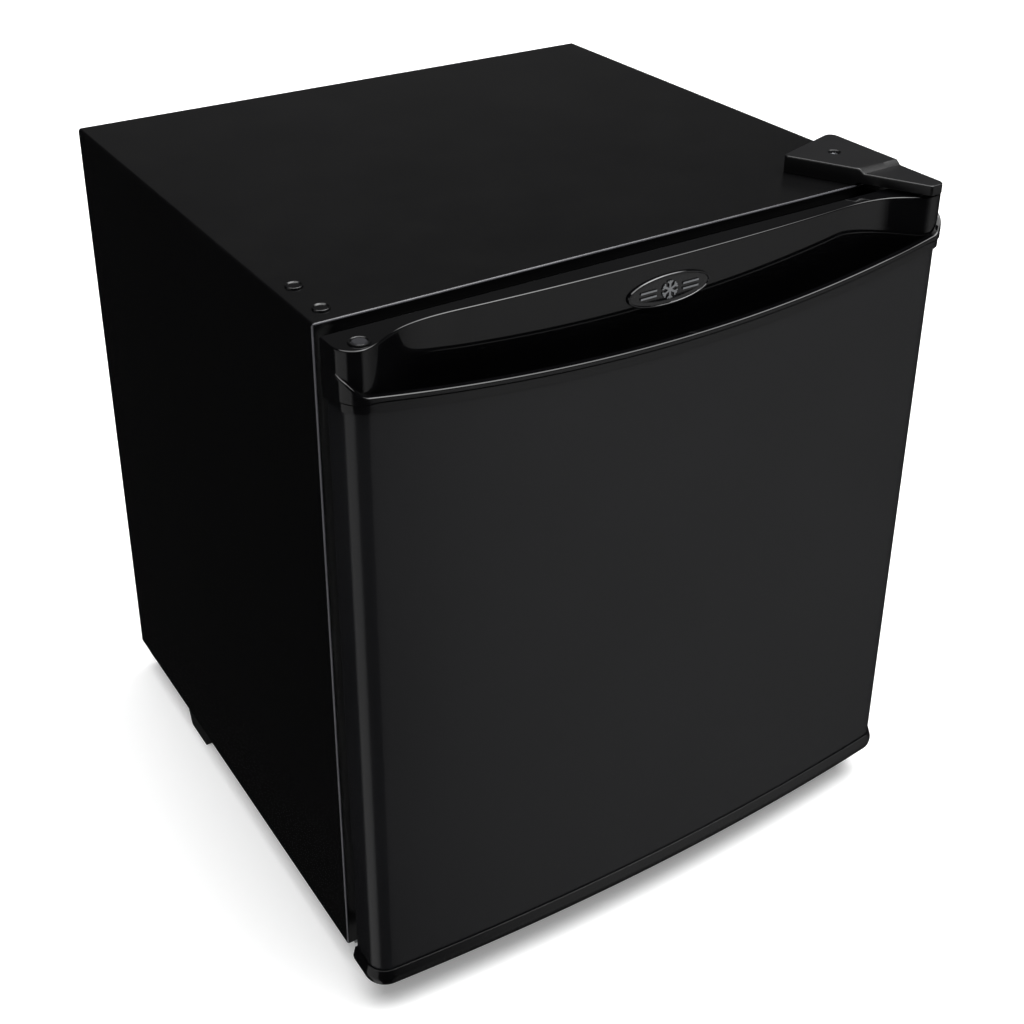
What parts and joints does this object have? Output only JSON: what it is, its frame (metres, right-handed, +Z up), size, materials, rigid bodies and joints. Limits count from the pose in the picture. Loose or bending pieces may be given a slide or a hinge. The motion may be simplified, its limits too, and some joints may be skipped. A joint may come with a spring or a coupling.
{
  "type": "mini fridge",
  "caption": "Cube-shaped compact refrigerator: black cabinet, bowed door with a moulded top pocket handle, freezer box, shelf, racks, compressor and rear condenser.",
  "frame": {"origin": "on the floor, under the middle of the outline", "axes": "+X to the right seen from the front, the door faces -Y, +Z up"},
  "size_m": [0.452, 0.471, 0.505],
  "materials": {
    "cabinet_paint": "satin black baked enamel",
    "galvanised_sheet": "dull galvanised sheet",
    "foam": "rigid polyurethane foam",
    "white_liner": "satin white moulding",
    "flap_white": "frosted white moulding",
    "black_frame": "satin black moulding",
    "evaporator_metal": "roll-bonded aluminium",
    "control_metal": "plated steel",
    "knob_white": "white moulding",
    "compressor_paint": "semi-gloss black paint",
    "soft_rubber": "black rubber",
    "seal_vinyl": "soft black magnetic seal",
    "zinc_fixings": "bright zinc plate",
    "bracket_steel": "zinc-plated steel plate",
    "black_plastic": "satin black moulding",
    "condenser_paint": "black paint on steel",
    "copper_pipe": "drawn copper",
    "cover_black": "satin black moulding",
    "door_paint": "satin black coated steel",
    "gloss_black": "polished black moulding",
    "badge_black": "dark oval plate with a bright rim",
    "badge_silver": "raised silver marks",
    "bush_nylon": "natural nylon",
    "plug_grey": "grey-black plug",
    "clear_rack": "clear polystyrene",
    "shelf_coating": "white plastic-coated wire",
    "foot_black": "black moulded foot on a steel stud"
  },
  "bodies": {
    "cabinet": {"cabinet_shell": "cabinet_paint", "back_panel": "galvanised_sheet", "bottom_panel": "galvanised_sheet", "front_crossmember": "cabinet_paint", "bay_panel": "galvanised_sheet", "compressor_tray": "galvanised_sheet", "insulation_foam": "foam", "inner_liner": "white_liner", "front_frame": "black_frame", "evaporator_box": "evaporator_metal", "evaporator_hangers": "white_liner", "freezer_frame": "white_liner", "thermostat_housing": "white_liner", "thermostat": "control_metal", "compressor": "compressor_paint", "compressor_grommets": "soft_rubber", "compressor_bolts": "zinc_fixings", "start_relay_cover": "black_plastic", "condenser_tube": "condenser_paint", "condenser_wires": "condenser_paint", "condenser_brackets": "black_plastic", "pan_head_screws": "zinc_fixings", "filter_drier": "copper_pipe", "capillary_tube": "copper_pipe", "suction_line": "copper_pipe", "discharge_line": "copper_pipe", "rear_foot_left": "black_plastic", "rear_foot_right": "black_plastic", "rear_stops": "black_plastic", "top_hinge_bracket": "bracket_steel", "top_hinge_pin": "zinc_fixings", "top_hinge_screws": "zinc_fixings", "top_hinge_cover": "cover_black", "hinge_cover_screw": "zinc_fixings", "lower_hinge_bracket": "bracket_steel", "lower_hinge_pin": "zinc_fixings", "lower_bracket_screws": "zinc_fixings", "left_foot_bracket": "bracket_steel", "hinge_hole_plugs": "black_plastic", "cord_gland": "soft_rubber"},
    "door": {"door_skin": "door_paint", "door_foam": "foam", "door_liner": "white_liner", "door_gasket": "seal_vinyl", "door_top_cap": "gloss_black", "door_bottom_cap": "gloss_black", "badge_plate": "badge_black", "badge_emblem": "badge_silver", "door_bush_top": "bush_nylon", "door_bush_bottom": "bush_nylon", "spare_hole_plug": "plug_grey"},
    "freezer_flap": {"freezer_flap": "flap_white"},
    "drip_tray": {"drip_tray": "clear_rack"},
    "wire_shelf": {"wire_shelf": "shelf_coating"},
    "control_knob": {"thermostat_knob": "knob_white", "thermostat_shaft": "control_metal"},
    "upper_rack": {"upper_door_rack": "clear_rack"},
    "lower_rack": {"lower_door_rack": "clear_rack"},
    "left_foot": {"front_left_foot": "foot_black"},
    "right_foot": {"front_right_foot": "foot_black"}
  },
  "joints": [
    {"name": "door_hinge", "type": "hinge", "parent": "cabinet", "child": "door", "pos_m": [0.2105, -0.2115, 0.259], "axis": [0, 0, 1], "range_deg": [0, 115]},
    {"name": "freezer_flap_hinge", "type": "hinge", "parent": "cabinet", "child": "freezer_flap", "pos_m": [-0.027, -0.1295, 0.3625], "axis": [1, 0, 0], "range_deg": [0, 90]},
    {"name": "drip_tray_slide", "type": "slide", "parent": "cabinet", "child": "drip_tray", "axis": [0, -1, 0], "range_m": [0, 0.11]},
    {"name": "shelf_slide", "type": "slide", "parent": "cabinet", "child": "wire_shelf", "axis": [0, -1, 0], "range_m": [0, 0.065]},
    {"name": "control_turn", "type": "hinge", "parent": "cabinet", "child": "control_knob", "pos_m": [0.16, -0.13, 0.4075], "axis": [0, -1, 0], "range_deg": [0, 300]},
    {"name": "upper_rack_lift", "type": "slide", "parent": "door", "child": "upper_rack", "axis": [0, 0, 1], "range_m": [0, 0.012]},
    {"name": "lower_rack_lift", "type": "slide", "parent": "door", "child": "lower_rack", "axis": [0, 0, 1], "range_m": [0, 0.012]},
    {"name": "left_foot_screw", "type": "slide", "parent": "cabinet", "child": "left_foot", "axis": [0, 0, -1], "range_m": [0, 0.008]},
    {"name": "right_foot_screw", "type": "slide", "parent": "cabinet", "child": "right_foot", "axis": [0, 0, -1], "range_m": [0, 0.008]}
  ],
  "couplings": [
    {"joint": "freezer_flap_hinge", "follows": "door_hinge", "ratio": 0.75},
    {"joint": "drip_tray_slide", "follows": "door_hinge", "m_per_rad": 0.05},
    {"joint": "shelf_slide", "follows": "door_hinge", "m_per_rad": 0.03}
  ]
}
